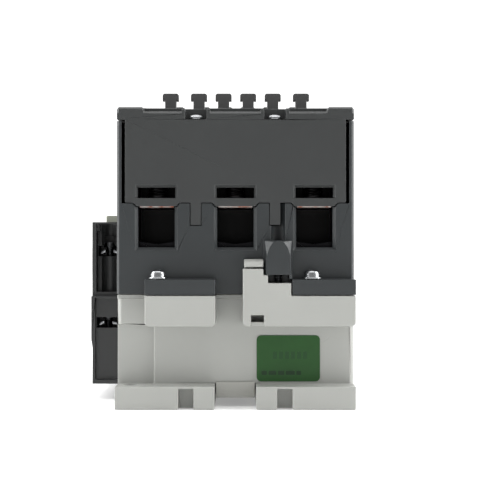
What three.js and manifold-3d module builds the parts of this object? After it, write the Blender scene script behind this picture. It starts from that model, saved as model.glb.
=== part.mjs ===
// DIN rail contactor: three poles, a coil terminal at each end and an auxiliary contact block.
// Millimetres, +Z out of the front. The back stands on z = 0 and the near end faces -Y.
import * as THREE from 'three';
import Module from 'manifold-3d';
import { mergeVertices } from 'three/addons/utils/BufferGeometryUtils.js';
import { ConvexGeometry } from 'three/addons/geometries/ConvexGeometry.js';

const wasm = await Module();
wasm.setup();

// Overall sizes
const BODY_HALF_WIDTH = 45;
const FOOT_REACH = 75;
const HOUSING_REACH = 66;
const BASE_WALL_REACH = 63;
const AUX_OUTER_X = -57.6;
const CENTRE_SHIFT_X = 6.3;
const POLES = [-30, 0, 30];
const GAP = 0.3;

// Base
const BASE_TOP = 42.5;
const BASE_FLOOR = 10.6;
const FOOT_TOP = 8.5;
const BOSS_BOTTOM = 31;
const RAIL_HALF = 17.6;
const RAIL_FLOOR = 4;
const MOUNT_HOLE = { x: -39.8, y: -65.5, r: 2.75 };

// Main housing
const HOUSING_BOTTOM = 42.8;
const HOUSING_TOP = 108.5;
const CHAMBER_HALF = 9.2;
const CHAMBER_FLOOR = 59;
const CONTACT_HALF = 11;
const CONTACT_REACH = 39;
const DECK = { low: 56.6, high: 59 };
const ENTRY = { half: 6.9, low: 60.5, high: 77.6 };
const FLANGE_TOP = 48.5;

// Covers and front panel
const COVER_LOW = 77.5;
const COVER_TOP = 113.8;
const COVER_STEP = { y: 60.8, z: 112.1 };
const COVER_INNER_Y = 37.4;
const PANEL_HALF_Y = 37;
const SLOT = { half: 7.1, low: 79.2, high: 83.2 };
const POST = { stem: 2.3, head: 3.3, stemTop: 120, top: 123, halfLength: 2.6, corner: 0.6 };
const POST_X = [5, 15, 26.5];
const POST_Y = 27;

// Terminals
const BAR = { half: 6.6, low: 75.7, high: 78.2, outer: 63.5, inner: 13.5 };
const CAGE = { outer: 8.5, inner: 7.2, near: 60, far: 48, low: 59.4, top: 87 };
const CLAMP_Y = 54;
const CLAMP_SCREW = { r: 4, low: 78.6, high: 100 };
const COIL_SCREW = { x: 16.2, y: -69.6 };
const HOUSING_SCREW_X = [-29.1, 28.8];
const COVER_SCREW = { x: 15, y: -61 };

// Auxiliary block
const AUX_INNER_X = -45.3;
const AUX_LOW = { reach: 40, faceDepth: 1.6, low: 6.1, high: 41, slotLow: 28.4, inset: 8 };
const AUX_HIGH = { reach: 36, faceDepth: 5, low: 41, high: 70.6, slotLow: 56.9, inset: 9.4 };
const AUX_SCREW_X = -51.3;

// Contact carrier
const CARRIER_LEG_X = 15;
const BRIDGE = { half: 5.4, reach: 20, low: 83.5, high: 85.3 };
const ARMATURE = { x: 26, y: 10, low: 43.5, high: 53.5 };

const MATERIALS = {
  dark_plastic: { color: 0x4b4d4f, roughness: 0.55, metalness: 0 },
  cover_plastic: { color: 0x505152, roughness: 0.55, metalness: 0 },
  light_plastic: { color: 0xb8b9b4, roughness: 0.5, metalness: 0 },
  slide_plastic: { color: 0xb5b8a8, roughness: 0.5, metalness: 0 },
  label: { color: 0x3a6336, roughness: 0.35, metalness: 0 },
  chrome: { color: 0xc8cacc, roughness: 0.2, metalness: 1 },
  zinc: { color: 0xa8acb0, roughness: 0.35, metalness: 1 },
  copper: { color: 0xc79a84, roughness: 0.35, metalness: 1 },
  iron: { color: 0x5c5f63, roughness: 0.5, metalness: 1 },
  winding: { color: 0xa2542a, roughness: 0.4, metalness: 0.6 },
  spring: { color: 0x9b9fa3, roughness: 0.3, metalness: 1 },
};

// Turns a three.js geometry into a solid
function solid(geometry) {
  const bare = new THREE.BufferGeometry();
  bare.setAttribute('position', geometry.getAttribute('position'));
  if (geometry.index) bare.setIndex(geometry.index);
  const merged = mergeVertices(bare, 1e-5);
  return new wasm.Manifold(new wasm.Mesh({
    numProp: 3,
    vertProperties: Float32Array.from(merged.getAttribute('position').array),
    triVerts: Uint32Array.from(merged.index.array),
  }));
}

function box(x0, x1, y0, y1, z0, z1) {
  const shape = new THREE.BoxGeometry(x1 - x0, y1 - y0, z1 - z0);
  shape.translate((x0 + x1) / 2, (y0 + y1) / 2, (z0 + z1) / 2);
  return solid(shape);
}

// A block whose four upright corners are cut off by c
function chamferedBlock(x0, x1, y0, y1, z0, z1, c) {
  const corners = [
    [x0 + c, y0], [x1 - c, y0], [x1, y0 + c], [x1, y1 - c],
    [x1 - c, y1], [x0 + c, y1], [x0, y1 - c], [x0, y0 + c],
  ];
  return hull([z0, z1].flatMap((z) => corners.map(([x, y]) => [x, y, z])));
}

function cylinder(x, y, z0, z1, r0, r1 = r0, sides = 24) {
  const shape = new THREE.CylinderGeometry(r1, r0, z1 - z0, sides);
  shape.rotateX(Math.PI / 2);
  shape.translate(x, y, (z0 + z1) / 2);
  return solid(shape);
}

function hull(points) {
  return solid(new ConvexGeometry(points.map((p) => new THREE.Vector3(...p))));
}

// A prism along Y from an outline in X and Z
function prismY(outline, y0, y1) {
  const shape = new THREE.Shape(outline.map(([x, z]) => new THREE.Vector2(x, z)));
  const body = new THREE.ExtrudeGeometry(shape, { depth: y1 - y0, bevelEnabled: false });
  body.rotateX(Math.PI / 2);
  body.translate(0, y1, 0);
  return solid(body);
}

// A prism along X from an outline in Y and Z
function prismX(outline, x0, x1) {
  const shape = new THREE.Shape(outline.map(([y, z]) => new THREE.Vector2(y, z)));
  const body = new THREE.ExtrudeGeometry(shape, { depth: x1 - x0, bevelEnabled: false });
  body.rotateX(Math.PI / 2);
  body.rotateZ(Math.PI / 2);
  body.translate(x0, 0, 0);
  return solid(body);
}

function join(...parts) {
  return parts.reduce((a, b) => a.add(b));
}

function cut(body, ...tools) {
  return tools.reduce((a, b) => a.subtract(b), body);
}

// The same thing at both ends: the far end is the near end turned half a turn
function bothEnds(part) {
  return part.add(part.rotate([0, 0, 180]));
}

// The same thing on both sides of y = 0, made by a function of its Y range
function bothSides(make, inner, outer) {
  return make(inner, outer).add(make(-outer, -inner));
}

function dome(x, y, z0, height, r, sides = 20) {
  const profile = [new THREE.Vector2(0, 0), new THREE.Vector2(r, 0), new THREE.Vector2(r, height * 0.35)];
  for (let i = 1; i <= 3; i += 1) {
    const a = (i / 3) * (Math.PI / 2);
    profile.push(new THREE.Vector2(r * Math.cos(a), height * (0.35 + 0.65 * Math.sin(a))));
  }
  profile[profile.length - 1].x = 0;
  const shape = new THREE.LatheGeometry(profile, sides);
  shape.rotateX(Math.PI / 2);
  shape.translate(x, y, z0);
  return solid(shape);
}

// A cross recess in the top of a screw head
function crossRecess(x, y, z, reach, width) {
  return join(
    box(x - reach, x + reach, y - width, y + width, z - 1.2, z + 2),
    box(x - width, x + width, y - reach, y + reach, z - 1.2, z + 2),
  );
}

// A helical wire spring along Z with flat pitch
function coilSpring(x, y, z0, z1, radius, wire, turns, segments) {
  class Helix extends THREE.Curve {
    getPoint(t, target = new THREE.Vector3()) {
      const a = t * turns * 2 * Math.PI;
      const rise = z0 + wire + t * (z1 - z0 - 2 * wire);
      return target.set(x + radius * Math.cos(a), y + radius * Math.sin(a), rise);
    }
  }
  const ring = [];
  for (let i = 0; i < 6; i += 1) {
    ring.push(new THREE.Vector2(wire * Math.cos(i * Math.PI / 3), wire * Math.sin(i * Math.PI / 3)));
  }
  return new THREE.ExtrudeGeometry(new THREE.Shape(ring), {
    steps: segments,
    bevelEnabled: false,
    extrudePath: new Helix(),
  });
}

// ---- Base housing ----

function baseFoot() {
  const ledges = join(
    box(-BODY_HALF_WIDTH, -7.6, -FOOT_REACH, -BASE_WALL_REACH + 0.5, 0, FOOT_TOP),
    box(7.6, BODY_HALF_WIDTH, -FOOT_REACH, -BASE_WALL_REACH + 0.5, 0, FOOT_TOP),
  );
  return cut(
    ledges,
    box(-21.3, -15.6, -76, -69.5, -1, 7.7),
    box(15.6, 21.3, -76, -69.5, -1, 7.7),
  );
}

function baseBosses() {
  const leftBoss = prismY([
    [-33.8, BASE_TOP], [-33.8, 32.2], [-33.4, 31.4], [-32.6, BOSS_BOTTOM],
    [-8.7, BOSS_BOTTOM], [-7.9, 31.4], [-7.5, 32.2], [-7.5, BASE_TOP],
  ], -FOOT_REACH, -BASE_WALL_REACH + 0.5);
  const rightBlock = prismY([
    [2.8, BASE_TOP], [2.8, 32], [3.8, BOSS_BOTTOM], [43.8, BOSS_BOTTOM], [45, 32], [45, BASE_TOP],
  ], -FOOT_REACH, -BASE_WALL_REACH + 0.5);
  const stairs = prismY([
    [2.8, 42], [20.9, 42], [20.9, 47.2], [12.2, 47.2], [12.2, 50.2], [10.5, 50.2], [10.5, 52.5], [2.8, 52.5],
  ], -FOOT_REACH, -66.4);
  const tab = join(
    box(3.3, 10.5, -67.8, -66.4, 52, 55.4),
    prismX([[-66.4, 53.2], [-74.6, 53.2], [-74.6, 55.2], [-72.8, 56.1], [-66.4, 56.1]], 3.3, 10.5),
  );
  const notch = join(box(5.8, 10.7, -76, -64.8, 32.6, 35.2), prismX([
    [-76, 30], [-70.5, 30], [-72.6, 32.7], [-76, 32.7],
  ], 5.8, 10.7));
  const coilBore = cylinder(COIL_SCREW.x, COIL_SCREW.y, 36, 48, 1.9, 1.9, 20);
  return cut(join(leftBoss, rightBlock, stairs, tab), notch, coilBore);
}

function baseScrewBores() {
  return join(...HOUSING_SCREW_X.map((x) => cylinder(x, -70.2, 33.5, 43, 2.1, 2.1, 20)));
}

function mountingPocket() {
  return box(-46, -31, -64, -61.6, FOOT_TOP, BOSS_BOTTOM);
}

function baseHousing() {
  const outer = join(
    chamferedBlock(
      -BODY_HALF_WIDTH, BODY_HALF_WIDTH, -BASE_WALL_REACH, BASE_WALL_REACH, 0, BASE_TOP, 1.3,
    ),
    bothEnds(box(-BODY_HALF_WIDTH, BODY_HALF_WIDTH, -BASE_WALL_REACH - 0.4, -62, 41, BASE_TOP)),
    bothEnds(baseFoot()),
    bothEnds(baseBosses()),
  );
  const cavity = cut(
    box(-42.4, 42.4, -60.2, 60.2, BASE_FLOOR, 43),
    bothEnds(box(-46, -28.8, -64, -58.8, 0, 43)),
  );
  const hole = cylinder(MOUNT_HOLE.x, MOUNT_HOLE.y, -1, 9, MOUNT_HOLE.r);
  const rail = join(
    box(-46, 46, -RAIL_HALF, 16, -1, RAIL_FLOOR),
    box(-46, 46, -RAIL_HALF, RAIL_HALF, 2.8, RAIL_FLOOR),
  );
  const latchWay = join(
    box(-7.8, 7.8, -76, -RAIL_HALF, -1, 8.8),
    box(-9.5, 9.5, -60, -22, 4.9, 7.5),
  );
  const springPost = box(-2.6, 2.6, -57.4, -54.9, 3.6, 9);
  const walls = [];
  for (const side of [-1, 1]) {
    for (const [y0, y1] of [[-44, -4], [4, 44]]) {
      const x0 = side > 0 ? 44.3 : -46;
      const x1 = side > 0 ? 46 : -44.3;
      walls.push(box(x0, x1, y0, y1, 13, 37));
    }
  }
  const vents = [];
  for (let i = 0; i < 5; i += 1) {
    const y = -8 + i * 4;
    vents.push(box(43.4, 46, y - 0.8, y + 0.8, 13, 37));
  }
  const body = cut(
    outer, cavity, bothEnds(mountingPocket()), bothEnds(hole), rail, latchWay,
    bothEnds(baseScrewBores()), ...walls, ...vents,
  );
  return join(body, springPost);
}

// ---- Main housing ----

function coilHood() {
  const front = [
    [14.4, 62.6], [16.1, 63], [17.8, 62.6], [19.4, 60.6], [20.6, 57.2], [20.8, 50.3],
    [11.5, 50.3], [11.7, 57.2], [12.9, 60.6],
  ];
  const back = [[10.9, 63], [21.2, 63], [21.2, 50.3], [10.9, 50.3]];
  const hood = hull([
    ...front.map(([x, z]) => [x, -FOOT_REACH, z]),
    ...back.map(([x, z]) => [x, -72.2, z]),
    ...back.map(([x, z]) => [x, -HOUSING_REACH + 0.5, z]),
  ]);
  const rightWall = box(20.1, 21.2, -74.6, -HOUSING_REACH + 0.5, 48.8, 51);
  const throat = box(12.4, 20, -73.4, -65.6, 50, 53);
  const channel = cylinder(COIL_SCREW.x, COIL_SCREW.y, 52, 64, 3.1);
  return cut(join(hood, rightWall), throat, channel);
}

function housingFlanges() {
  const left = box(-33.8, -7.5, -FOOT_REACH, -HOUSING_REACH + 0.5, HOUSING_BOTTOM, FLANGE_TOP);
  const right = box(21.3, 45, -FOOT_REACH, -HOUSING_REACH + 0.5, HOUSING_BOTTOM, FLANGE_TOP);
  const bores = HOUSING_SCREW_X.map((x) => cylinder(x, -70.2, 42, 49, 2.1, 2.1, 20));
  return cut(join(left, right), ...bores);
}

function entryCuts(x) {
  const { half, low, high } = ENTRY;
  const mouth = hull([
    [x - 8.3, -66.2, 59], [x + 8.3, -66.2, 59], [x - 8.3, -66.2, 76.2], [x + 8.3, -66.2, 76.2],
    [x - half, -64.6, low], [x + half, -64.6, low], [x - half, -64.6, 76.2], [x + half, -64.6, 76.2],
  ]);
  const lipSeat = prismY([
    [x - 9.1, high], [x - 7.8, 75.8], [x + 7.8, 75.8], [x + 9.1, high],
  ], -66.2, -64.3);
  return join(box(x - half, x + half, -66.2, -59, low, high), mouth, lipSeat);
}

function terminalChamber(x) {
  return join(
    box(x - CHAMBER_HALF, x + CHAMBER_HALF, -63.4, -46.8, CHAMBER_FLOOR, 110),
    box(x - 6.9, x + 6.9, -47, -38, 75.4, 78.5),
  );
}

function housingEndCuts() {
  const pieces = POLES.flatMap((x) => [entryCuts(x), terminalChamber(x)]);
  for (const x of [-15, 15]) {
    const inner = Math.sign(x) * 12.8;
    const outer = Math.sign(x) * 17.3;
    pieces.push(box(Math.min(inner, outer), Math.max(inner, outer), -66.2, -63.4, 68.7, 78));
    pieces.push(cylinder(x, COVER_SCREW.y, 94, 108, 1.9, 1.9, 20));
  }
  pieces.push(cylinder(COIL_SCREW.x, -66.6, 62.8, 78, 2.8, 2.8, 20));
  pieces.push(box(-43.2, 43.2, -66.2, -63.4, COVER_LOW - GAP, 110));
  for (const x of [-42.6, 42.6]) pieces.push(box(x - 0.6, x + 0.6, -66.2, -56, COVER_LOW - GAP, 110));
  return join(...pieces);
}

function contactChambers() {
  const rooms = POLES.map((x) => {
    const x0 = x < 0 ? -42.2 : x - CONTACT_HALF;
    const x1 = x > 0 ? 42.2 : x + CONTACT_HALF;
    return box(x0, x1, -CONTACT_REACH, CONTACT_REACH, DECK.high, 110);
  });
  const legs = [-CARRIER_LEG_X, CARRIER_LEG_X].map((x) => box(x - 2.2, x + 2.2, -6.6, 6.6, 55, 110));
  const beamWay = box(-30, 30, -6.6, 6.6, 78, 110);
  return join(...rooms, ...legs, beamWay);
}

function sideDetail() {
  const pieces = [];
  for (const side of [-1, 1]) {
    const wide = (a, b, y0, y1, z0, z1) => (side > 0
      ? box(a, b, y0, y1, z0, z1)
      : box(-b, -a, y0, y1, z0, z1));
    pieces.push(wide(44.3, 46, -58, 58, 99, 104));
    pieces.push(wide(44.2, 46, -40, -20, 50, 62));
    pieces.push(wide(44.2, 46, 20, 40, 50, 62));
    for (let i = 0; i < 6; i += 1) {
      const y = -10 + i * 4;
      pieces.push(wide(44.2, 46, y - 0.9, y + 0.9, 78, 96));
    }
  }
  return join(...pieces);
}

function mainHousing() {
  const outer = join(
    chamferedBlock(
      -BODY_HALF_WIDTH, BODY_HALF_WIDTH, -HOUSING_REACH, HOUSING_REACH, HOUSING_BOTTOM, HOUSING_TOP, 0.9,
    ),
    bothEnds(housingFlanges()),
    bothEnds(coilHood()),
  );
  const under = box(-42.4, 42.4, -58, 58, 42, DECK.low);
  const armWay = box(-46, -42, -2.6, 2.6, 66.8, 74);
  const driverWay = cylinder(COIL_SCREW.x, COIL_SCREW.y, 62, 63.5, 3.1);
  const housing = cut(
    outer, under, bothEnds(housingEndCuts()), contactChambers(), armWay,
    bothEnds(driverWay), sideDetail(),
  );
  const top = bothEnds(box(-46, 46, -67, -36.5, 107.1, 110)).subtract(
    join(
      box(-46, -42.6, -67, 67, 100, 111),
      box(42.6, 46, -67, 67, 100, 111),
    ),
  );
  return cut(housing, top);
}

// ---- Covers and front panel ----

function coverOuter() {
  const { y: stepY, z: stepZ } = COVER_STEP;
  const panel = box(-41.9, 41.9, -HOUSING_REACH, -63.8, COVER_LOW, 111);
  const lid = prismX([
    [-HOUSING_REACH, 109], [-HOUSING_REACH, stepZ - 0.9], [-HOUSING_REACH + 0.9, stepZ], [-stepY, stepZ],
    [-stepY, COVER_TOP], [-COVER_INNER_Y, COVER_TOP], [-COVER_INNER_Y, 109],
  ], -BODY_HALF_WIDTH, BODY_HALF_WIDTH);
  const ears = [-1, 1].map((side) => hull([
    [side * 44.2, -HOUSING_REACH, 109], [side * 45, -HOUSING_REACH + 0.8, 109],
    [side * 44.2, -HOUSING_REACH, COVER_TOP - 0.8], [side * 45, -HOUSING_REACH + 0.8, COVER_TOP - 0.8],
    [side * 44.4, -HOUSING_REACH + 0.8, COVER_TOP], [side * 35.4, -HOUSING_REACH + 0.8, COVER_TOP],
    [side * 35.2, -HOUSING_REACH, COVER_TOP - 0.8], [side * 34.5, -HOUSING_REACH, 111],
    [side * 34.5, -60, 109], [side * 35, -60, COVER_TOP], [side * 44.4, -60, COVER_TOP],
    [side * 45, -60, COVER_TOP - 0.8], [side * 45, -60, 109], [side * 34.5, -HOUSING_REACH, 109],
  ]));
  const tongues = [-15.05, 15.05].map((x) => box(x - 1.95, x + 1.95, -HOUSING_REACH, -63.8, 69, 78));
  return join(panel, lid, ...ears, ...tongues);
}

function coverSlot(x) {
  const { half, low, high } = SLOT;
  return join(
    box(x - half, x + half, -67, -63, low, high),
    hull([
      [x - half - 0.9, -66.1, low], [x + half + 0.9, -66.1, low],
      [x - half - 0.9, -66.1, high + 1.2], [x + half + 0.9, -66.1, high + 1.2],
      [x - half, -64.9, low], [x + half, -64.9, low], [x - half, -64.9, high], [x + half, -64.9, high],
    ]),
  );
}

function terminalCover() {
  const hollow = box(-42.6, 42.6, -63.8, -COVER_INNER_Y - 2, 105, 112);
  const lips = POLES.map((x) => prismY([
    [x - 8.8, 78.2], [x - 8.8, COVER_LOW], [x - 7.5, 76.1],
    [x + 7.5, 76.1], [x + 8.8, COVER_LOW], [x + 8.8, 78.2],
  ], -HOUSING_REACH, -64.8));
  const cups = [-15.05, 15.05].map((x) => box(x - 5.4, x + 5.4, -66, -54.8, 107.4, 113));
  const pockets = [-15.05, 15.05].map((x) => join(
    box(x - 4.15, x + 4.15, -67, -57.8, 109.1, 115),
    cylinder(Math.sign(x) * COVER_SCREW.x, COVER_SCREW.y, 106, 110, 1.9, 1.9, 20),
  ));
  const access = POLES.flatMap((x) => [
    cylinder(x, -CLAMP_Y, 111, 115, 4.75),
    cylinder(x, -CLAMP_Y, 113.3, 114.6, 5.1, 6.4),
  ]);
  const ridges = [];
  for (let i = 0; i < 3; i += 1) {
    ridges.push(box(-20, 20, -46 + i * 2.4, -45 + i * 2.4, 113.3, 115));
  }
  const shell = cut(coverOuter(), hollow, ...POLES.map(coverSlot));
  return cut(join(shell, ...lips, ...cups), ...pockets, ...access, ...ridges);
}

function teePost(x, y) {
  const { stem, head, stemTop, top, halfLength, corner } = POST;
  return prismY([
    [x - stem, 113], [x + stem, 113], [x + stem, stemTop], [x + head, stemTop], [x + head, top - corner],
    [x + head - corner, top], [x - head + corner, top], [x - head, top - corner],
    [x - head, stemTop], [x - stem, stemTop],
  ], y - halfLength, y + halfLength);
}

function frontPanel() {
  const slab = cut(
    box(-45, 45, -PANEL_HALF_Y, PANEL_HALF_Y, 109, COVER_TOP),
    box(-42.6, 42.6, -34.6, 34.6, 100, 112),
  );
  const posts = [];
  for (const y of [-POST_Y, POST_Y]) {
    for (const x of POST_X) {
      posts.push(teePost(x, y), teePost(-x, y));
    }
  }
  const rim = cut(
    box(-7, 7, -6, 6, 113.5, 115),
    box(-5.4, 5.4, -4.4, 4.4, 113, 116),
  );
  const cuts = [
    box(-3.6, 3.6, -3.6, 3.6, 111, 116),
    box(12, 38, -14, 14, 113.4, 115),
    box(-38, -12, -14, 14, 113.4, 115),
    box(-45.5, -44, -20, -12, 108, 112),
    box(44, 45.5, -20, -12, 108, 112),
    box(-45.5, -44, 12, 20, 108, 112),
    box(44, 45.5, 12, 20, 108, 112),
  ];
  return cut(join(slab, ...posts, rim), ...cuts);
}

// ---- Power terminals ----

function terminalBar(x) {
  const { half, low, high, outer, inner } = BAR;
  const bar = box(x - half, x + half, -outer, -inner, low, high);
  const tip = box(x - 4.2, x + 4.2, -20.5, -14.5, high - 0.5, 79.1);
  return join(bar, tip);
}

function clampCage(x) {
  const { outer, inner, near, far, low, top } = CAGE;
  const frame = prismY([
    [x - outer, low], [x - 1.2, low], [x, low], [x + outer, low], [x + outer, top], [x - outer, top],
  ], -near, -far);
  const window = prismY([
    [x - inner, 62.9], [x, 61.8], [x + inner, 62.9], [x + inner, 84.4], [x - inner, 84.4],
  ], -near - 1, -far + 1);
  const threadHole = cylinder(x, -CLAMP_Y, 83, 88, 4.3);
  return cut(frame, window, threadHole);
}

function clampScrew(x) {
  const { r, low, high } = CLAMP_SCREW;
  const rod = join(
    cylinder(x, -CLAMP_Y, low, low + 0.9, r - 0.9, r),
    cylinder(x, -CLAMP_Y, low + 0.9, high - 0.7, r),
    cylinder(x, -CLAMP_Y, high - 0.7, high, r, r - 0.7),
  );
  const socket = cylinder(x, -CLAMP_Y, high - 5, high + 1, 2.31, 2.31, 6);
  return cut(rod, socket);
}

// ---- Fasteners ----

function housingScrew(x) {
  const y = -70.2;
  const head = join(
    cylinder(x, y, 48.8, 49.7, 3.8),
    dome(x, y, 49.6, 2.7, 3.1),
    cylinder(x, y, 34, 49, 1.75, 1.75, 20),
  );
  return cut(head, crossRecess(x, y, 52.3, 1.7, 0.45));
}

function coverScrew(x) {
  const head = join(
    dome(x, COVER_SCREW.y, 109.4, 1.9, 2.9),
    cylinder(x, COVER_SCREW.y, 95, 109.8, 1.55, 1.55, 20),
  );
  return cut(head, crossRecess(x, COVER_SCREW.y, 111.3, 1.2, 0.35));
}

function smallScrew(x, y, headLow, length) {
  const head = join(
    cylinder(x, y, headLow, headLow + 2, 2.5, 2.5, 24),
    cylinder(x, y, headLow - length, headLow + 0.4, 1.45, 1.45, 20),
  );
  const slot = box(x - 3, x + 3, y - 0.4, y + 0.4, headLow + 1, headLow + 3);
  const cross = box(x - 0.4, x + 0.4, y - 1.6, y + 1.6, headLow + 1, headLow + 3);
  return cut(head, slot, cross);
}

function coilPlate() {
  const { x, y } = COIL_SCREW;
  const plate = prismY([
    [x - 3.5, 50.6], [x - 2.6, 50.4], [x, 51.2], [x + 2.6, 50.4], [x + 3.5, 50.6],
    [x + 3.5, 51.6], [x + 2.6, 51.4], [x, 52], [x - 2.6, 51.4], [x - 3.5, 51.6],
  ], -73.1, -66.1);
  return cut(plate, cylinder(x, y, 49, 53, 1.75, 1.75, 20));
}

function auxPlate(y, z) {
  const x = AUX_SCREW_X;
  const plate = prismY([
    [x - 3.6, z], [x, z + 1.4], [x + 3.6, z], [x + 3.6, z + 1], [x, z + 2.4], [x - 3.6, z + 1],
  ], y - 2.8, y + 2.8);
  const outwards = Math.sign(y) * 3.5;
  const slot = box(x - 1.6, x + 1.6, Math.min(y, y + outwards), Math.max(y, y + outwards), z - 1, z + 4);
  return cut(plate, cylinder(x, y, z - 1, z + 4, 1.75, 1.75, 20), slot);
}

// ---- Moving contact system ----

function contactCarrier() {
  const beam = box(-36, 36, -5.8, 5.8, 81.8, 98);
  const windows = POLES.map((x) => box(x - 5.9, x + 5.9, -7, 7, 83.2, 91));
  const legs = [-CARRIER_LEG_X, CARRIER_LEG_X].map((x) => box(x - 1.8, x + 1.8, -5.8, 5.8, 53.8, 84));
  const foot = box(-16.8, 16.8, -5.8, 5.8, 53.8, 55.9);
  const stem = box(-3.2, 3.2, -3.2, 3.2, 97, 113.6);
  const lug = box(-40.6, -35, -4, 4, 81.8, 90);
  const arm = box(-40.6, -37.4, -4, 4, 68.4, 83);
  const eye = box(-41, -37, -2.4, 2.4, 70.6, 73.6);
  return cut(join(beam, ...legs, foot, stem, lug, arm), ...windows, eye);
}

function movingBridge(x) {
  const { half, reach, low, high } = BRIDGE;
  const plate = box(x - half, x + half, -reach, reach, low, high);
  const tips = [-17.5, 17.5].map((y) => box(x - 4, x + 4, y - 2.5, y + 2.5, 82.8, low + 0.5));
  const riser = box(x - 2, x + 2, -3, 3, high - 0.5, 90.6);
  return join(plate, ...tips, riser);
}

function arcChute(x) {
  const blank = box(x - 10.2, x + 10.2, -36, 36, 87.5, 106);
  const cuts = [
    box(x - 9.2, x + 9.2, -21.5, 21.5, 80, 110),
    box(x - 11, x + 11, -7.4, 7.4, 80, 99.5),
  ];
  for (let i = 0; i < 4; i += 1) {
    const y = 23 + i * 3.4;
    cuts.push(box(x - 9.2, x + 9.2, y, y + 2.2, 80, 103));
    cuts.push(box(x - 9.2, x + 9.2, -y - 2.2, -y, 80, 103));
  }
  return cut(blank, ...cuts);
}

// ---- Magnet ----

function armature() {
  const { x, y, low, high } = ARMATURE;
  return cut(
    box(-x, x, -y, y, low, high),
    cylinder(0, 0, low - 1, low + 3, 3, 3, 20),
  );
}

function magnetCore() {
  const yoke = box(-26, 26, -9, 9, 11, 18);
  const legs = [[-26, -20], [-7.5, 7.5], [20, 26]].map(([x0, x1]) => box(x0, x1, -9, 9, 17, 39.6));
  return join(yoke, ...legs);
}

function coilBobbin() {
  const flanges = join(box(-19.2, 19.2, -21, 21, 18.4, 19.9), box(-19.2, 19.2, -21, 21, 36, 37.5));
  const tube = box(-9.4, 9.4, -11, 11, 19, 37);
  return cut(join(flanges, tube), box(-7.9, 7.9, -9.4, 9.4, 18, 38));
}

function coilWinding() {
  const ring = join(
    box(-18.2, 18.2, -17, 17, 20.2, 35.7),
    box(-15.2, 15.2, -20, 20, 20.2, 35.7),
    ...[-1, 1].flatMap((a) => [-1, 1].map((b) => cylinder(a * 15.2, b * 17, 20.2, 35.7, 3))),
  );
  return cut(ring, box(-9.7, 9.7, -11.3, 11.3, 19, 37));
}

// ---- DIN latch ----

function dinLatch() {
  const bar = box(-7.4, 7.4, -63.5, -17.9, 3.3, 8.4);
  const front = box(-7.4, 7.4, -64.2, -63.3, 3.3, 9.3);
  const ribs = box(-9.1, 9.1, -53, -22.3, 5.2, 7.2);
  const lip = prismX([
    [-24, 3.6], [-24, 1.6], [-22.5, 0.8], [-17, 0.8], [-16.1, 1.7], [-16.1, 2.7], [-17.9, 2.7], [-17.9, 3.6],
  ], -7.4, 7.4);
  const springWindow = box(-3.2, 3.2, -61.5, -40, 2, 9);
  const grip = box(-5, 5, -62.6, -61.5, 2, 3.9);
  return cut(join(bar, front, ribs, lip), springWindow, grip);
}

function latchSpring() {
  const shape = coilSpring(0, 0, 40.3, 54.6, 1.7, 0.3, 5, 50);
  shape.rotateX(Math.PI / 2);
  shape.translate(0, 0, 5.9);
  return shape;
}

// ---- Auxiliary contact block ----

// One wire terminal in the end of a tier: a recessed face with a clamp slot in it. The driver way of
// the lower tier runs on up through the face of the upper one.
function auxTerminal(side, tier) {
  const { reach, faceDepth, low, high, slotLow, inset } = tier;
  const along = (a, b) => [Math.min(side * a, side * b), Math.max(side * a, side * b)];
  const face = along(reach + 1, reach - faceDepth);
  const slot = along(reach + 1, reach - inset - 5.1);
  const pocket = along(reach - faceDepth - 1.4, reach - inset - 5.1);
  const screwY = side * (reach - inset);
  return join(
    box(-55.9, -46.1, ...face, low + 1.6, high - 0.8),
    box(-55.6, -46.3, ...slot, slotLow, slotLow + 4.2),
    box(-55.6, -46.3, ...pocket, slotLow, slotLow + 8.2),
    cylinder(AUX_SCREW_X, screwY, slotLow - 11, slotLow + 1, 1.9, 1.9, 20),
    cylinder(AUX_SCREW_X, screwY, slotLow + 7, AUX_HIGH.high + 1, 3.1, 3.1),
  );
}

function auxHousing() {
  const outer = join(
    prismY([
      [AUX_INNER_X, 6.1], [-57.1, 6.1], [-57.1, 20.6],
      [AUX_OUTER_X, 23.4], [AUX_OUTER_X, 41], [AUX_INNER_X, 41],
    ], -AUX_LOW.reach, AUX_LOW.reach),
    box(AUX_OUTER_X, AUX_INNER_X, -AUX_HIGH.reach, AUX_HIGH.reach, 40, AUX_HIGH.high),
  );
  const terminals = [-1, 1].flatMap((side) => [
    auxTerminal(side, AUX_LOW),
    auxTerminal(side, AUX_HIGH),
  ]);
  const guides = bothSides((y0, y1) => box(-56.2, -54.8, y0, y1, 66.9, 70), 30.8, 34.6);
  const hollows = [
    box(-55.9, -46.9, -17, 17, 24, 68),
    box(-55.2, -44, -9, 9, 60, 72),
    box(-58, -57, -16, 16, 46, 64),
    box(-58, -57.1, -30, 30, 26, 38),
  ];
  return cut(join(cut(outer, ...terminals), guides), ...hollows);
}

function auxSlide() {
  const tab = box(-54.8, -45.6, -8.5, 8.5, 70.9, 73.8);
  const arm = box(-46, -37.9, -2.1, 2.1, 70.9, 73.3);
  const stem = box(-51, -48.4, -4, 4, 64.6, 71.5);
  return join(tab, arm, stem);
}

function label() {
  const x0 = 8.1;
  const x1 = 32.2;
  const z0 = 9.4;
  const z1 = 27;
  const r = 1.7;
  const outline = [];
  const corners = [[x1 - r, z0 + r, -90], [x1 - r, z1 - r, 0], [x0 + r, z1 - r, 90], [x0 + r, z0 + r, 180]];
  for (const [cx, cz, start] of corners) {
    for (let i = 0; i <= 4; i += 1) {
      const a = THREE.MathUtils.degToRad(start + i * 22.5);
      outline.push([cx + r * Math.cos(a), cz + r * Math.sin(a)]);
    }
  }
  return prismY(outline, -63.35, -63.05);
}

// ---- Assembly ----

const root = new THREE.Group();
root.name = 'din_rail_contactor';
root.position.x = CENTRE_SHIFT_X;

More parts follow.
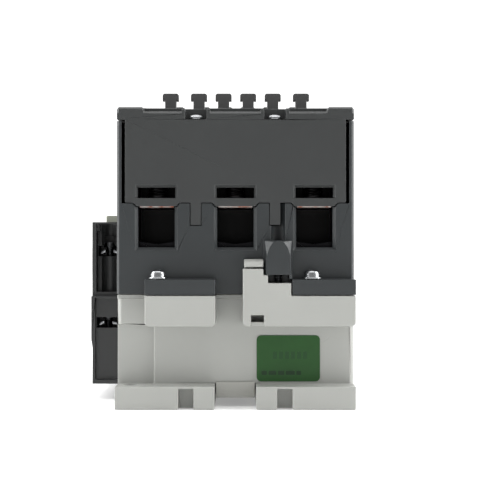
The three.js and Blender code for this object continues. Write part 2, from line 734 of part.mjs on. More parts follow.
function material(slot) {
  return new THREE.MeshStandardMaterial({ name: slot, ...MATERIALS[slot] });
}

function place(name, slot, shape) {
  const mesh = new THREE.Mesh(shape, material(slot));
  mesh.name = name;
  root.add(mesh);
  return mesh;
}

function add(name, slot, body, halfTurn = false) {
  const { vertProperties, triVerts, numProp } = body.getMesh();
  const shape = new THREE.BufferGeometry();
  const points = new Float32Array((vertProperties.length / numProp) * 3);
  for (let i = 0; i < points.length / 3; i += 1) {
    points.set(vertProperties.subarray(i * numProp, i * numProp + 3), i * 3);
  }
  shape.setAttribute('position', new THREE.BufferAttribute(points, 3));
  shape.setIndex(new THREE.BufferAttribute(Uint32Array.from(triVerts), 1));
  const mesh = place(name, slot, shape);
  if (halfTurn) mesh.rotation.z = Math.PI;
  return mesh;
}

add('base_housing', 'light_plastic', baseHousing());
add('main_housing', 'dark_plastic', mainHousing());
add('front_panel', 'dark_plastic', frontPanel());
add('inspection_label', 'label', label());
const cover = terminalCover();

for (const [end, turned] of [['near', false], ['far', true]]) {
  add(`terminal_cover_${end}`, 'cover_plastic', cover, turned);
  HOUSING_SCREW_X.forEach((x, i) => add(`housing_screw_${end}_${i + 1}`, 'chrome', housingScrew(x), turned));
  [-COVER_SCREW.x, COVER_SCREW.x].forEach((x, i) => {
    add(`cover_screw_${end}_${i + 1}`, 'chrome', coverScrew(x), turned);
  });
  POLES.forEach((x, i) => {
    add(`terminal_bar_${end}_${i + 1}`, 'copper', terminalBar(x), turned);
    add(`clamp_cage_${end}_${i + 1}`, 'zinc', clampCage(x), turned);
    add(`clamp_screw_${end}_${i + 1}`, 'zinc', clampScrew(x), turned);
  });
  add(`coil_plate_${end}`, 'zinc', coilPlate(), turned);
  add(`coil_screw_${end}`, 'zinc', smallScrew(COIL_SCREW.x, COIL_SCREW.y, 52.4, 12), turned);
  const side = turned ? 1 : -1;
  const lowY = side * (AUX_LOW.reach - AUX_LOW.inset);
  const highY = side * (AUX_HIGH.reach - AUX_HIGH.inset);
  add(`aux_plate_low_${end}`, 'zinc', auxPlate(lowY, 29.1));
  add(`aux_plate_high_${end}`, 'zinc', auxPlate(highY, 57.7));
  add(`aux_screw_low_${end}`, 'zinc', smallScrew(AUX_SCREW_X, lowY, 31.8, 12.5));
  add(`aux_screw_high_${end}`, 'zinc', smallScrew(AUX_SCREW_X, highY, 60.4, 12.5));
}

add('contact_carrier', 'slide_plastic', contactCarrier());
POLES.forEach((x, i) => {
  add(`moving_bridge_${i + 1}`, 'copper', movingBridge(x));
  add(`arc_chute_${i + 1}`, 'iron', arcChute(x));
});
add('armature', 'iron', armature());
add('magnet_core', 'iron', magnetCore());
add('coil_bobbin', 'light_plastic', coilBobbin());
add('coil_winding', 'winding', coilWinding());
place('return_spring', 'spring', coilSpring(0, 0, 37.8, 43.2, 13.4, 0.5, 1.9, 38));
add('din_latch', 'light_plastic', dinLatch());
place('latch_spring', 'spring', latchSpring());
add('aux_housing', 'dark_plastic', auxHousing());
add('aux_slide', 'slide_plastic', auxSlide());

export default root;
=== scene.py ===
"""Looks of a DIN rail contactor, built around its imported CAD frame. Metres, +Z out of the front."""
import math
import bmesh
import bpy
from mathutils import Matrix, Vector


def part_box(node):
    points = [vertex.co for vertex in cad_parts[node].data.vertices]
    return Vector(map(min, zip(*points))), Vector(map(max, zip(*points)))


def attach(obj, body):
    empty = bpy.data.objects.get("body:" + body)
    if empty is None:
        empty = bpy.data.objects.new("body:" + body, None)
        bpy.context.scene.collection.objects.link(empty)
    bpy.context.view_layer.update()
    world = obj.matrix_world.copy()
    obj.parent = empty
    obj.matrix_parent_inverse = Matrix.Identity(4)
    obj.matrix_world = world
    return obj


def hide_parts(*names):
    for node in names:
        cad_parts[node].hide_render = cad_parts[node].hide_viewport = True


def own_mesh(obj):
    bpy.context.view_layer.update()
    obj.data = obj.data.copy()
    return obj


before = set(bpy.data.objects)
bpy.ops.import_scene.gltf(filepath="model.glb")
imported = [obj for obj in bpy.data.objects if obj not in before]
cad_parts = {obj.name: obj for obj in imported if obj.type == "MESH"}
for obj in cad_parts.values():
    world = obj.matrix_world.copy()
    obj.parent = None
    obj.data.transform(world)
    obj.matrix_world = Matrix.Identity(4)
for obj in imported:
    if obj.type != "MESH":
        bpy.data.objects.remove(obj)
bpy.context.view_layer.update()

MM = 0.001
ENDS = ("near", "far")
POLES = (1, 2, 3)
BODY = "contactor_body"
CENTRE_X = (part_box("main_housing")[0][0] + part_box("main_housing")[1][0]) / 2

# Camera: square on to the near end, half a metre in front of the feet
CAMERA_OFFSET_X = 2.5 * MM
CAMERA_HEIGHT = 61.4 * MM
CAMERA_DISTANCE = 500 * MM
LENS_MM = 98.65

# The space inside the main housing where shade is painted in: where each limit lies and half the width of
# its fade
CHAMBER_END = (64 * MM, 0.8 * MM)
CHAMBER_SIDE = (43.8 * MM, 0.5 * MM)
CHAMBER_FLOOR = (58.2 * MM, 1 * MM)


# ---------------------------------------------------------------- materials

class Nodes:
    """A material's node tree with short calls for the nodes used here."""

    def __init__(self, name, color, roughness, metallic=0.0):
        self.material = bpy.data.materials.new(name)
        self.material.use_nodes = True
        self.tree = self.material.node_tree
        self.shader = self.tree.nodes["Principled BSDF"]
        self.shader.inputs["Base Color"].default_value = (*color, 1)
        self.shader.inputs["Roughness"].default_value = roughness
        self.shader.inputs["Metallic"].default_value = metallic
        self.place = self.add("ShaderNodeTexCoord").outputs["Object"]

    def add(self, kind, **values):
        node = self.tree.nodes.new(kind)
        for key, value in values.items():
            setattr(node, key, value)
        return node

    def link(self, a, b):
        self.tree.links.new(a, b)

    def noise(self, scale, detail=2.0, stretch=None):
        node = self.add("ShaderNodeTexNoise")
        node.inputs["Scale"].default_value = scale
        node.inputs["Detail"].default_value = detail
        source = self.place
        if stretch:
            mapping = self.add("ShaderNodeMapping")
            mapping.inputs["Scale"].default_value = stretch
            self.link(source, mapping.inputs["Vector"])
            source = mapping.outputs["Vector"]
        self.link(source, node.inputs["Vector"])
        return node.outputs["Fac"]

    def ramp(self, source, stops):
        node = self.add("ShaderNodeValToRGB")
        elements = node.color_ramp.elements
        while len(elements) < len(stops):
            elements.new(0.5)
        for element, (position, color) in zip(elements, stops):
            element.position = position
            element.color = (*color, 1)
        self.link(source, node.inputs["Fac"])
        return node.outputs["Color"]

    def remap(self, source, low, high):
        node = self.add("ShaderNodeMapRange")
        node.inputs["From Min"].default_value = 0.3
        node.inputs["From Max"].default_value = 0.7
        node.inputs["To Min"].default_value = low
        node.inputs["To Max"].default_value = high
        self.link(source, node.inputs["Value"])
        return node.outputs["Result"]

    def bump(self, source, strength, depth, after=None):
        node = self.add("ShaderNodeBump")
        node.inputs["Strength"].default_value = strength
        node.inputs["Distance"].default_value = depth
        self.link(source, node.inputs["Height"])
        if after:
            self.link(after, node.inputs["Normal"])
        return node.outputs["Normal"]

    def colour_from(self, source):
        self.link(source, self.shader.inputs["Base Color"])

    def roughness_from(self, source):
        self.link(source, self.shader.inputs["Roughness"])

    def normal_from(self, source):
        self.link(source, self.shader.inputs["Normal"])

    def band(self, source, outside, inside, absolute=False):
        """1 where a coordinate is past inside and 0 where it is past outside, smooth in between."""
        if absolute:
            size = self.add("ShaderNodeMath", operation="ABSOLUTE")
            self.link(source, size.inputs[0])
            source = size.outputs[0]
        node = self.add("ShaderNodeMapRange", interpolation_type="SMOOTHSTEP")
        node.inputs["From Min"].default_value = outside
        node.inputs["From Max"].default_value = inside
        self.link(source, node.inputs["Value"])
        return node.outputs["Result"]

    def times(self, a, b):
        node = self.add("ShaderNodeMath", operation="MULTIPLY")
        self.link(a, node.inputs[0])
        self.link(b, node.inputs[1])
        return node.outputs[0]


def tint(color, factor):
    return tuple(min(1.0, c * factor) for c in color)


def chamber_shade_mask(n):
    """1 inside the terminal and contact chambers of the main housing, where their shade is painted into the
    colour.
    """
    parts = n.add("ShaderNodeSeparateXYZ")
    n.link(n.place, parts.inputs["Vector"])
    centred = n.add("ShaderNodeMath", operation="SUBTRACT")
    n.link(parts.outputs["X"], centred.inputs[0])
    centred.inputs[1].default_value = CENTRE_X
    end, end_fade = CHAMBER_END
    side, side_fade = CHAMBER_SIDE
    low, low_fade = CHAMBER_FLOOR
    ends = n.band(parts.outputs["Y"], end + end_fade, end - end_fade, True)
    sides = n.band(centred.outputs[0], side + side_fade, side - side_fade, True)
    floor = n.band(parts.outputs["Z"], low - low_fade, low + low_fade)
    return n.times(n.times(ends, sides), floor)


def moulded_plastic(name, color, roughness, grain=0.18, cloud=0.05, paint_chamber_shade=False):
    """Injection moulded plastic: spark-eroded grain, faint flow clouds and uneven gloss, and painted shade
    inside the housing's chambers when asked.
    """
    n = Nodes(name, color, roughness)
    clouds = n.noise(38, 3)
    body = n.ramp(clouds, [(0.3, tint(color, 1 - cloud)), (0.7, tint(color, 1 + cloud))])
    n.shader.inputs["Specular IOR Level"].default_value = 0.42
    # Painted shade: near-black colour and lower sheen inside the chambers stand in for the shade that falls
    # there.
    if paint_chamber_shade:
        chamber = chamber_shade_mask(n)
        painted_shade_mix = n.add("ShaderNodeMix", data_type="RGBA")
        n.link(chamber, painted_shade_mix.inputs["Factor"])
        n.link(body, painted_shade_mix.inputs["A"])
        painted_shade_mix.inputs["B"].default_value = (0.0015, 0.0015, 0.0015, 1)
        body = painted_shade_mix.outputs["Result"]
        gloss = n.add("ShaderNodeMapRange")
        gloss.inputs["To Min"].default_value = 0.42
        gloss.inputs["To Max"].default_value = 0.08
        n.link(chamber, gloss.inputs["Value"])
        n.link(gloss.outputs["Result"], n.shader.inputs["Specular IOR Level"])
    n.colour_from(body)
    fine = n.noise(2600, 3)
    coarse = n.noise(900, 2)
    n.roughness_from(n.remap(coarse, roughness - 0.05, roughness + 0.06))
    first = n.bump(fine, grain, 0.00006)
    n.normal_from(n.bump(clouds, 0.12, 0.0004, first))
    return n.material


def plated_steel(name, color, roughness, stretch=(1, 1, 6), scratch=0.25):
    """Plated steel with drawn or brushed marks and a slightly cloudy plating."""
    n = Nodes(name, color, roughness, 1.0)
    marks = n.noise(700, 4, stretch)
    clouds = n.noise(240, 3)
    n.colour_from(n.ramp(clouds, [(0.3, tint(color, 0.9)), (0.7, tint(color, 1.06))]))
    n.roughness_from(n.remap(marks, roughness - 0.06, roughness + 0.1))
    n.normal_from(n.bump(marks, scratch, 0.00003))
    return n.material


def tinned_copper(name):
    """Tin-plated copper whose edges and scuffs show red copper through the plating."""
    n = Nodes(name, (0.62, 0.5, 0.46), 0.32, 1.0)
    patches = n.noise(420, 4)
    n.colour_from(n.ramp(patches, [
        (0.36, (0.42, 0.16, 0.11)), (0.46, (0.48, 0.36, 0.33)), (0.62, (0.54, 0.51, 0.49)),
    ]))
    n.roughness_from(n.remap(patches, 0.26, 0.42))
    n.normal_from(n.bump(n.noise(1500, 3), 0.2, 0.00003))
    return n.material


def laminated_iron(name):
    """Stacked electrical steel sheets about a millimetre thick, with darker joints."""
    n = Nodes(name, (0.16, 0.165, 0.175), 0.42, 1.0)
    wave = n.add("ShaderNodeTexWave", wave_type="BANDS", bands_direction="Y", wave_profile="SIN")
    wave.inputs["Scale"].default_value = 320
    wave.inputs["Distortion"].default_value = 0.4
    wave.inputs["Detail"].default_value = 1.0
    n.link(n.place, wave.inputs["Vector"])
    n.colour_from(n.ramp(wave.outputs["Fac"], [
        (0.0, (0.05, 0.05, 0.055)), (0.35, (0.15, 0.155, 0.165)), (1.0, (0.21, 0.215, 0.225)),
    ]))
    n.roughness_from(n.remap(n.noise(500, 3), 0.36, 0.5))
    n.normal_from(n.bump(wave.outputs["Fac"], 0.5, 0.00008))
    return n.material


def enamelled_wire(name):
    """Copper wire under a clear coat of enamel."""
    n = Nodes(name, (0.36, 0.09, 0.025), 0.25, 0.75)
    shade = n.noise(300, 2)
    n.colour_from(n.ramp(shade, [(0.3, (0.28, 0.06, 0.018)), (0.7, (0.44, 0.13, 0.035))]))
    n.roughness_from(n.remap(n.noise(900, 2), 0.18, 0.32))
    n.shader.inputs["Coat Weight"].default_value = 0.6
    return n.material


def sticker(name, color, roughness=0.38):
    """A printed film with a faint orange-peel surface."""
    n = Nodes(name, color, roughness)
    mottle = n.noise(180, 3)
    n.colour_from(n.ramp(mottle, [(0.3, tint(color, 0.93)), (0.7, tint(color, 1.08))]))
    n.roughness_from(n.remap(n.noise(700, 2), roughness - 0.05, roughness + 0.08))
    n.normal_from(n.bump(n.noise(1300, 2), 0.12, 0.00003))
    n.shader.inputs["Specular IOR Level"].default_value = 0.3
    return n.material


DARK = moulded_plastic("dark_plastic", (0.022, 0.0255, 0.027), 0.36, paint_chamber_shade=True)
PANEL = moulded_plastic("panel_plastic", (0.062, 0.062, 0.062), 0.36)
COVER = moulded_plastic("cover_plastic", (0.031, 0.033, 0.033), 0.36)
AUX_DARK = moulded_plastic("aux_plastic", (0.025, 0.026, 0.026), 0.36)
LIGHT = moulded_plastic("light_plastic", (0.345, 0.35, 0.33), 0.38, 0.12, 0.02)
LATCH = moulded_plastic("latch_plastic", (0.33, 0.33, 0.305), 0.38, 0.12, 0.02)
BEIGE = moulded_plastic("slide_plastic", (0.47, 0.49, 0.41), 0.4, 0.08, 0.03)
LABEL = sticker("label_film", (0.012, 0.064, 0.010))
LABEL_INK = sticker("label_ink", (0.005, 0.028, 0.006))
LABEL_FAINT = sticker("label_faint_ink", (0.009, 0.048, 0.010))
CHROME = plated_steel("chrome", (0.42, 0.43, 0.44), 0.16, (1, 1, 1), 0.1)
# Painted shade: the clamp cages get near-black steel so the cable entries read as dark as their shade.
CAGE = plated_steel("cage_steel_painted_dark", (0.012, 0.012, 0.013), 0.36)
# Painted shade: screws sitting in the slots and cavities get dark steel so they read as shaded.
SHADE_DARK_STEEL = plated_steel("steel_painted_dark", (0.075, 0.077, 0.08), 0.34)
ZINC = plated_steel("zinc", (0.34, 0.35, 0.36), 0.34)
SPRING_STEEL = plated_steel("spring_steel", (0.42, 0.43, 0.45), 0.28, (6, 6, 1))
COPPER = tinned_copper("tinned_copper")
IRON = laminated_iron("laminated_iron")
WINDING = enamelled_wire("enamelled_wire")


# ---------------------------------------------------------------- CAD nodes

def finish_node(node, material, width=0.25, segments=3, angle=28):
    """Gives a CAD node its material and rounds its edges by a moulding or pressing radius."""
    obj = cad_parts[node]
    obj.data.materials.clear()
    obj.data.materials.append(material)
    weld = obj.modifiers.new("weld", "WELD")
    weld.merge_threshold = 2e-6
    bevel = obj.modifiers.new("edges", "BEVEL")
    bevel.width = width * MM
    bevel.segments = segments
    bevel.limit_method = "ANGLE"
    bevel.angle_limit = math.radians(angle)
    bevel.miter_outer = "MITER_ARC"
    bevel.use_clamp_overlap = False
    bevel.face_strength_mode = "FSTR_ALL"
    normals = obj.modifiers.new("normals", "WEIGHTED_NORMAL")
    normals.use_face_influence = True
    for polygon in obj.data.polygons:
        polygon.use_smooth = True
    return obj


finish_node("main_housing", DARK, 0.2)
finish_node("front_panel", PANEL, 0.35)
finish_node("base_housing", LIGHT, 0.4)
finish_node("aux_housing", AUX_DARK, 0.2)
finish_node("aux_slide", BEIGE, 0.3)
finish_node("din_latch", LATCH, 0.25)
finish_node("contact_carrier", BEIGE, 0.3)
finish_node("armature", IRON, 0.2)
finish_node("magnet_core", IRON, 0.2)
finish_node("coil_bobbin", LIGHT, 0.2)
for pole in POLES:
    finish_node(f"moving_bridge_{pole}", COPPER, 0.2)
    finish_node(f"arc_chute_{pole}", ZINC, 0.1, 2)
for end in ENDS:
    finish_node(f"terminal_cover_{end}", COVER, 0.25)
    finish_node(f"coil_plate_{end}", ZINC, 0.1, 2)
    finish_node(f"aux_plate_low_{end}", ZINC, 0.1, 2)
    finish_node(f"aux_plate_high_{end}", ZINC, 0.1, 2)
    for pole in POLES:
        finish_node(f"terminal_bar_{end}_{pole}", COPPER, 0.25)
        finish_node(f"clamp_cage_{end}_{pole}", CAGE, 0.25)


# ---------------------------------------------------------------- mesh tools

def object_from(name, bm, material, body):
    mesh = bpy.data.meshes.new(name)
    bmesh.ops.recalc_face_normals(bm, faces=bm.faces)
    bm.to_mesh(mesh)
    bm.free()
    mesh.materials.append(material)
    obj = bpy.data.objects.new(name, mesh)
    bpy.context.scene.collection.objects.link(obj)
    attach(obj, body)
    return obj


def grid_faces(bm, rings, close_rings=True):
    """Joins rings of vertices, each as long as the next, into quads."""
    for lower, upper in zip(rings, rings[1:]):
        count = len(lower)
        last = count if close_rings else count - 1
        for i in range(last):
            j = (i + 1) % count
            bm.faces.new((lower[i], lower[j], upper[j], upper[i]))


def turned(profile, centre, sides=48):
    """A body turned about a vertical axis. profile is (radius, height) in metres, both ends on the axis."""
    bm = bmesh.new()
    rings = []
    for radius, height in profile[1:-1]:
        ring = []
        for i in range(sides):
            a = 2 * math.pi * i / sides
            ring.append(bm.verts.new((
                centre[0] + radius * math.cos(a), centre[1] + radius * math.sin(a), centre[2] + height)))
        rings.append(ring)
    grid_faces(bm, rings)
    for point, ring in ((profile[0], rings[0]), (profile[-1], rings[-1])):
        tip = bm.verts.new((centre[0], centre[1], centre[2] + point[1]))
        for i in range(sides):
            bm.faces.new((tip, ring[i], ring[(i + 1) % sides]))
    return bm


def box_mesh(bm, low, high):
    made = bmesh.ops.create_cube(bm, size=1)["verts"]
    for v in made:
        for k in range(3):
            v.co[k] = low[k] if v.co[k] < 0 else high[k]
    return made


def cut_with(bm, cutter):
    """Subtracts cutter from bm with an exact boolean and returns the result as a new bmesh."""
    objects = []
    for source in (bm, cutter):
        bmesh.ops.recalc_face_normals(source, faces=source.faces)
        mesh = bpy.data.meshes.new("tool")
        source.to_mesh(mesh)
        source.free()
        obj = bpy.data.objects.new("tool", mesh)
        bpy.context.scene.collection.objects.link(obj)
        objects.append(obj)
    body, tool = objects
    modifier = body.modifiers.new("cut", "BOOLEAN")
    modifier.operation = "DIFFERENCE"
    modifier.solver = "EXACT"
    modifier.object = tool
    result = bmesh.new()
    result.from_object(body, bpy.context.evaluated_depsgraph_get())
    for obj in objects:
        mesh = obj.data
        bpy.data.objects.remove(obj)
        bpy.data.meshes.remove(mesh)
    return result


def smooth_by_angle(obj, degrees=32, bevel=None):
    """Shades round faces smooth and leaves real corners crisp, with an optional small edge radius."""
    if bevel:
        edges = obj.modifiers.new("edges", "BEVEL")
        edges.width = bevel
        edges.segments = 2
        edges.limit_method = "ANGLE"
        edges.angle_limit = math.radians(degrees)
        edges.use_clamp_overlap = True
    obj.data.polygons.foreach_set("use_smooth", [True] * len(obj.data.polygons))
    if bevel:
        obj.modifiers.new("normals", "WEIGHTED_NORMAL")
    else:
        obj.data.set_sharp_from_angle(angle=math.radians(degrees))


def centre_of(node):
    low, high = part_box(node)
    return (low[0] + high[0]) / 2, (low[1] + high[1]) / 2, low[2], high[2]


def arc(radius_x, radius_z, centre_z, start, end, steps, centre_x=0.0):
    points = []
    for i in range(steps + 1):
        a = math.radians(start + (end - start) * i / steps)
        points.append((centre_x + radius_x * math.cos(a), centre_z + radius_z * math.sin(a)))
    return points


# ---------------------------------------------------------------- screws

def threaded_rod(bm, x, y, low, high, radius, pitch, depth, sides=32):
    """A rod with a real helical thread: the radius follows the angle and the height."""
    per_turn = 8
    rows = max(2, int((high - low) / pitch * per_turn))
    rings = []
    for row in range(rows + 1):
        z = low + (high - low) * row / rows
        fade = min(1.0, row / per_turn, (rows - row) / per_turn)
        ring = []
        for i in range(sides):
            turn = i / sides
            phase = ((z - low) / pitch - turn) % 1.0
            cut = depth * (1 - abs(2 * phase - 1)) * fade
            r = radius - cut
            a = 2 * math.pi * turn
            ring.append(bm.verts.new((x + r * math.cos(a), y + r * math.sin(a), z)))
        rings.append(ring)
    grid_faces(bm, rings)
    bm.faces.new(rings[0][::-1])
    bm.faces.new(rings[-1])


def cross_cut(head, x, y, top, reach, width, depth):
    """Cuts a tapered cross recess into a screw head, one pair of wings after the other."""
    for across in (False, True):
        bm = bmesh.new()
        for v in box_mesh(bm, (-reach, -width, -depth), (reach, width, depth)):
            if v.co.z < 0:
                v.co.x *= 0.45
                v.co.y *= 0.7
            if across:
                v.co.x, v.co.y = -v.co.y, v.co.x
            v.co += Vector((x, y, top))
        head = cut_with(head, bm)
    return head


def pan_head_screw(name, node, body, material, flange, recess):
    """A pan head machine screw with a cross recess, a washer flange if it has one, and a threaded shank."""
    x, y, low, top = centre_of(node)
    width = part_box(node)[1][0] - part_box(node)[0][0]
    outer = width / 2
    if flange:
        head_low = top - 3.4 * MM
        rise = top - head_low
        radius = 2.95 * MM
        profile = [(0, 0), (outer * 0.98, 0), (outer, 0.08 * MM), (outer, 0.42 * MM),
                   (outer * 0.97, 0.52 * MM), (radius + 0.05 * MM, 0.56 * MM), (radius, 0.7 * MM),
                   (radius, 1.5 * MM)]
        profile += arc(1.5 * MM, rise - 1.75 * MM, 1.5 * MM, 0, 90, 7, 1.45 * MM)[1:]
        profile += [(0.9 * MM, rise - 0.06 * MM)]
    else:
        head_low = top - 1.9 * MM
        rise = top - head_low
        radius = outer
        profile = [(0, 0), (radius * 0.93, 0), (radius, 0.15 * MM), (radius, rise * 0.3)]
        profile += arc(radius, rise * 0.7, rise * 0.3, 0, 90, 9)[1:-1]
    profile.append((0, rise))
    head = turned(profile, (x, y, head_low))
    head = cross_cut(head, x, y, top, recess, recess * 0.26, 1.5 * MM)
    obj = object_from(name, head, material, body)
    smooth_by_angle(obj, 30, 0.06 * MM)
    shank = bmesh.new()
    radius = 1.7 * MM if flange else 1.5 * MM
    threaded_rod(shank, x, y, low, head_low - 0.02 * MM, radius, 0.7 * MM, 0.22 * MM, 24)
    rod = object_from(name + "_thread", shank, SHADE_DARK_STEEL, body)
    smooth_by_angle(rod, 40)
    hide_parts(node)
    return obj


def cheese_head_screw(name, node, body):
    """A small terminal screw with a straight slot crossed by a short one."""
    x, y, low, top = centre_of(node)
    radius = (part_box(node)[1][0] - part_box(node)[0][0]) / 2
    rise = 2 * MM
    profile = [(0, 0), (radius * 0.94, 0), (radius, 0.12 * MM), (radius, rise - 0.25 * MM),
               (radius - 0.2 * MM, rise), (0, rise)]
    cutter = bmesh.new()
    box_mesh(cutter, (x - 3 * MM, y - 0.4 * MM, top - 1 * MM), (x + 3 * MM, y + 0.4 * MM, top + 1 * MM))
    cross = bmesh.new()
    box_mesh(cross, (x - 0.4 * MM, y - 1.6 * MM, top - 1 * MM), (x + 0.4 * MM, y + 1.6 * MM, top + 1 * MM))
    head = cut_with(cut_with(turned(profile, (x, y, top - rise)), cutter), cross)
    obj = object_from(name, head, SHADE_DARK_STEEL, body)
    smooth_by_angle(obj, 30, 0.06 * MM)
    shank = bmesh.new()
    threaded_rod(shank, x, y, low, top - rise - 0.02 * MM, 1.45 * MM, 0.6 * MM, 0.2 * MM, 24)
    smooth_by_angle(object_from(name + "_thread", shank, SHADE_DARK_STEEL, body), 40)
    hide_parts(node)


def socket_screw(name, node, body):
    """The large clamp screw: a headless rod with a coarse thread, chamfers and a hexagon socket."""
    x, y, low, top = centre_of(node)
    rod = bmesh.new()
    threaded_rod(rod, x, y, low + 0.9 * MM, top - 1.6 * MM, 4 * MM, 1.25 * MM, 0.55 * MM, 40)
    smooth_by_angle(object_from(name + "_thread", rod, SHADE_DARK_STEEL, body), 40)
    crown = turned([(0, 0), (3.9 * MM, 0), (4 * MM, 0.15 * MM), (4 * MM, 1.0 * MM), (3.4 * MM, 1.56 * MM),
                    (0, 1.56 * MM)], (x, y, top - 1.56 * MM))
    hexagon = bmesh.new()
    socket = 2.3 * MM
    bmesh.ops.create_cone(hexagon, cap_ends=True, segments=6, radius1=socket, radius2=socket, depth=2.6 * MM)
    bmesh.ops.translate(hexagon, verts=hexagon.verts, vec=(x, y, top))
    obj = object_from(name, cut_with(crown, hexagon), SHADE_DARK_STEEL, body)
    smooth_by_angle(obj, 30, 0.06 * MM)
    point = turned([(0, 0), (2.9 * MM, 0), (3.2 * MM, 0.15 * MM), (3.9 * MM, 0.88 * MM), (0, 0.88 * MM)],
                   (x, y, low))
    smooth_by_angle(object_from(name + "_point", point, SHADE_DARK_STEEL, body), 30)
    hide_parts(node)


for end in ENDS:
    for side in (1, 2):
        pan_head_screw(f"housing_screw_head_{end}_{side}", f"housing_screw_{end}_{side}", BODY,
                       CHROME, True, 1.6 * MM)
        pan_head_screw(f"cover_screw_head_{end}_{side}", f"cover_screw_{end}_{side}", BODY,
                       CHROME, False, 1.1 * MM)
    for place in ("coil", "aux_low", "aux_high"):
        node = (place.replace("_", "_screw_") if "_" in place else f"{place}_screw") + f"_{end}"
        cheese_head_screw(node + "_head", node, node)
    for pole in POLES:
        node = f"clamp_screw_{end}_{pole}"
        socket_screw(f"clamp_screw_crown_{end}_{pole}", node, node)


# ---------------------------------------------------------------- springs and winding

def wire_spring(name, node, axis, radius, wire, turns, body, steps_per_turn=36, sides=10):
    """A wire spring with closed ends. axis is 1 for along Y and 2 for along Z."""
    low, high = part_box(node)
    centre = [(a + b) / 2 for a, b in zip(low, high)]
    start, end = low[axis] + wire, high[axis] - wire
    steps = int(turns * steps_per_turn)

    def spot(t):
        angle = 2 * math.pi * turns * t
        ease = min(max((t * turns - 0.75) / (turns - 1.5), 0.0), 1.0)
        along = start + (end - start) * ease
        across = centre[0] + radius * math.cos(angle)
        offset = radius * math.sin(angle)
        if axis == 2:
            return Vector((across, centre[1] + offset, along))
        return Vector((across, along, centre[2] + offset))

    up = Vector((0, 1, 0)) if axis == 1 else Vector((0, 0, 1))
    bm = bmesh.new()
    rings = []
    for i in range(steps + 1):
        t = i / steps
        here = spot(t)
        ahead = (spot(min(1, t + 0.002)) - spot(max(0, t - 0.002))).normalized()
        side = ahead.cross(up).normalized()
        top = side.cross(ahead).normalized()
        rings.append([
            bm.verts.new(here + wire * (math.cos(a) * side + math.sin(a) * top))
            for a in (2 * math.pi * k / sides for k in range(sides))
        ])
    grid_faces(bm, rings)
    bm.faces.new(rings[0][::-1])
    bm.faces.new(rings[-1])
    obj = object_from(name, bm, SPRING_STEEL, body)
    smooth_by_angle(obj, 50)
    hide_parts(node)
    return obj


return_spring = wire_spring("return_spring_wire", "return_spring", 2, 13.4 * MM, 0.5 * MM, 2.6, BODY)
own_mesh(return_spring)
latch_spring = wire_spring("latch_spring_wire", "latch_spring", 1, 1.7 * MM, 0.3 * MM, 7, BODY)
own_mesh(latch_spring)


def coil_winding():
    """Layers of enamelled wire round a rounded rectangle, each turn a bead on the outside."""
    low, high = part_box("coil_winding")
    centre_x, centre_y = (low[0] + high[0]) / 2, (low[1] + high[1]) / 2
    half_x, half_y = (high[0] - low[0]) / 2, (high[1] - low[1]) / 2
    corner = 3 * MM
    turns = 24
    per_turn = 6
    rows = turns * per_turn

    def outline(hx, hy, r):
        points = []
        for cx, cy, start in ((1, 1, 0), (-1, 1, 90), (-1, -1, 180), (1, -1, 270)):
            for i in range(7):
                a = math.radians(start + i * 15)
                points.append((centre_x + cx * (hx - r) + r * math.cos(a),
                               centre_y + cy * (hy - r) + r * math.sin(a)))
        return points

    bm = bmesh.new()
    rings = []
    for row in range(rows + 1):
        z = low[2] + (high[2] - low[2]) * row / rows
        bead = 0.28 * MM * (1 - abs(math.sin(math.pi * row / per_turn)))
        rings.append([bm.verts.new((px, py, z)) for px, py in outline(half_x - bead, half_y - bead, corner)])
    inner_x, inner_y = 9.75 * MM, 11.35 * MM
    for z in (high[2], low[2]):
        rings.append([bm.verts.new((px, py, z)) for px, py in outline(inner_x, inner_y, 0.5 * MM)])
    rings.append(rings[0])
    grid_faces(bm, rings)
    obj = object_from("coil_winding_wire", bm, WINDING, BODY)
    smooth_by_angle(obj, 50)
    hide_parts("coil_winding")


coil_winding()


# ---------------------------------------------------------------- label

def rounded_plate(bm, x0, x1, z0, z1, back, front, radius, steps=8):
    """A plate standing across Y with round corners."""
    rings = [[], []]
    for cx, cz, start in ((x1 - radius, z0 + radius, -90), (x1 - radius, z1 - radius, 0),
                          (x0 + radius, z1 - radius, 90), (x0 + radius, z0 + radius, 180)):
        for i in range(steps + 1):
            a = math.radians(start + 90 * i / steps)
            for ring, y in zip(rings, (back, front)):
                ring.append(bm.verts.new((cx + radius * math.cos(a), y, cz + radius * math.sin(a))))
    grid_faces(bm, rings)
    bm.faces.new(rings[0])
    bm.faces.new(rings[1][::-1])


def inspection_label():
    """The green sticker, with plain bars in place of its print."""
    low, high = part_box("inspection_label")
    back, front = high[1] + 0.04 * MM, low[1] + 0.06 * MM
    bm = bmesh.new()
    rounded_plate(bm, low[0], high[0], low[2], high[2], back, front, 1.7 * MM)
    film = object_from("label_film", bm, LABEL, BODY)
    smooth_by_angle(film, 40, 0.05 * MM)
    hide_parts("inspection_label")
    ink = front - 0.02 * MM
    bm = bmesh.new()
    for start, width in ((1.8, 2.1), (4.5, 3.0), (8.1, 2.4), (11.1, 3.4), (15.1, 1.8)):
        x = low[0] + start * MM
        rounded_plate(bm, x, x + width * MM, low[2] + 2.5 * MM, low[2] + 4.1 * MM, front + 0.01 * MM, ink,
                      0.3 * MM, 3)
    smooth_by_angle(object_from("label_bar", bm, LABEL_INK, BODY), 40)
    bm = bmesh.new()
    for i in range(6):
        x = low[0] + (6.2 + i * 2.3) * MM
        rounded_plate(bm, x, x + 1.5 * MM, low[2] + 8.6 * MM, low[2] + 11.4 * MM, front + 0.01 * MM, ink,
                      0.3 * MM, 3)
    smooth_by_angle(object_from("label_ticks", bm, LABEL_FAINT, BODY), 40)


inspection_label()


# ---------------------------------------------------------------- stage, light and camera

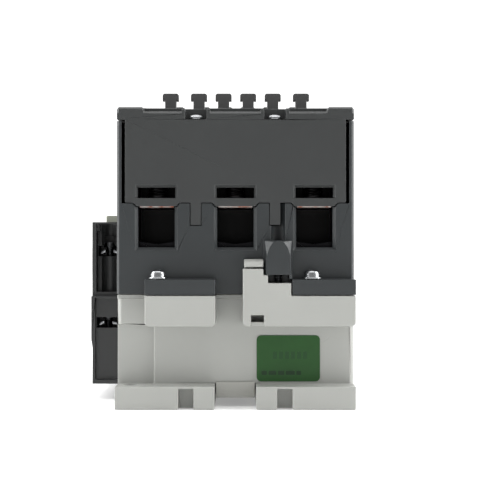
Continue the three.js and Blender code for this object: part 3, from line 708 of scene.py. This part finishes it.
def stage_material(name, value, glow):
    material = bpy.data.materials.new(name)
    material.use_nodes = True
    shader = material.node_tree.nodes["Principled BSDF"]
    shader.inputs["Base Color"].default_value = (value, value, value, 1)
    shader.inputs["Roughness"].default_value = 0.9
    shader.inputs["Specular IOR Level"].default_value = 0.1
    shader.inputs["Emission Color"].default_value = (1, 1, 1, 1)
    shader.inputs["Emission Strength"].default_value = glow
    return material


def add_floor():
    """A wide plain white floor just under the feet."""
    bm = bmesh.new()
    bmesh.ops.create_circle(bm, cap_ends=True, segments=96, radius=30.0)
    mesh = bpy.data.meshes.new("floor")
    bm.to_mesh(mesh)
    bm.free()
    floor = bpy.data.objects.new("floor", mesh)
    floor.location = (CENTRE_X, 0, -0.1 * MM)
    mesh.materials.append(stage_material("floor_white", 0.85, 0.25))
    bpy.context.scene.collection.objects.link(floor)


def add_light(name, place, aim, size, power, shape="RECTANGLE", size_y=None):
    light = bpy.data.lights.new(name, "AREA")
    light.shape = shape
    light.size = size
    light.size_y = size_y or size
    light.energy = power
    lamp = bpy.data.objects.new(name, light)
    lamp.location = place
    lamp.rotation_euler = (Vector(aim) - Vector(place)).to_track_quat("-Z", "Y").to_euler()
    bpy.context.scene.collection.objects.link(lamp)


def add_world(front, back):
    """A white room, darker behind the camera on the near side and overlit behind the object."""
    world = bpy.data.worlds.new("studio")
    world.use_nodes = True
    tree = world.node_tree
    direction = tree.nodes.new("ShaderNodeTexCoord")
    parts = tree.nodes.new("ShaderNodeSeparateXYZ")
    shade = tree.nodes.new("ShaderNodeMapRange")
    shade.interpolation_type = "SMOOTHSTEP"
    shade.inputs["From Min"].default_value = -1.0
    shade.inputs["From Max"].default_value = -0.1
    shade.inputs["To Min"].default_value = front
    shade.inputs["To Max"].default_value = 1.0
    glow = tree.nodes.new("ShaderNodeMapRange")
    glow.interpolation_type = "SMOOTHSTEP"
    glow.inputs["From Min"].default_value = 0.05
    glow.inputs["From Max"].default_value = 0.6
    glow.inputs["To Max"].default_value = back - 1.0
    total = tree.nodes.new("ShaderNodeMath")
    background = tree.nodes["Background"]
    background.inputs["Color"].default_value = (1, 1, 1, 1)
    tree.links.new(direction.outputs["Generated"], parts.inputs["Vector"])
    tree.links.new(parts.outputs["Y"], shade.inputs["Value"])
    tree.links.new(parts.outputs["Y"], glow.inputs["Value"])
    tree.links.new(shade.outputs["Result"], total.inputs[0])
    tree.links.new(glow.outputs["Result"], total.inputs[1])
    tree.links.new(total.outputs["Value"], background.inputs["Strength"])
    bpy.context.scene.world = world


def add_camera():
    camera = bpy.data.cameras.new("camera")
    camera.lens = LENS_MM
    camera.sensor_width = 36
    camera.clip_start = 0.01
    camera.clip_end = 50
    obj = bpy.data.objects.new("camera", camera)
    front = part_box("base_housing")[0][1]
    obj.location = (CENTRE_X + CAMERA_OFFSET_X, front - CAMERA_DISTANCE, CAMERA_HEIGHT)
    obj.rotation_euler = (math.radians(90), 0, 0)
    bpy.context.scene.collection.objects.link(obj)
    bpy.context.scene.camera = obj


add_floor()
add_world(0.34, 1.5)
MIDDLE = (CENTRE_X, 0, 0.06)
add_light("key", (1.7, -0.5, 0.9), MIDDLE, 1.2, 6)
add_light("fill", (-1.7, -0.5, 0.8), MIDDLE, 1.2, 2)
add_light("top", (0.0, -0.2, 1.6), MIDDLE, 1.4, 8)
add_light("back", (-0.6, 1.7, 1.0), MIDDLE, 1.4, 5)
for side in (-1, 1):
    add_light(f"side_{side + 2}", (side * 1.1, -0.25, 0.2), MIDDLE, 0.5, 5, size_y=0.4)
    add_light(f"rim_{side + 2}", (side * 0.9, -0.02, 0.75), MIDDLE, 0.5, 5, size_y=0.6)
add_camera()
bpy.context.scene.view_settings.view_transform = "Standard"
bpy.context.scene.view_settings.look = "None"
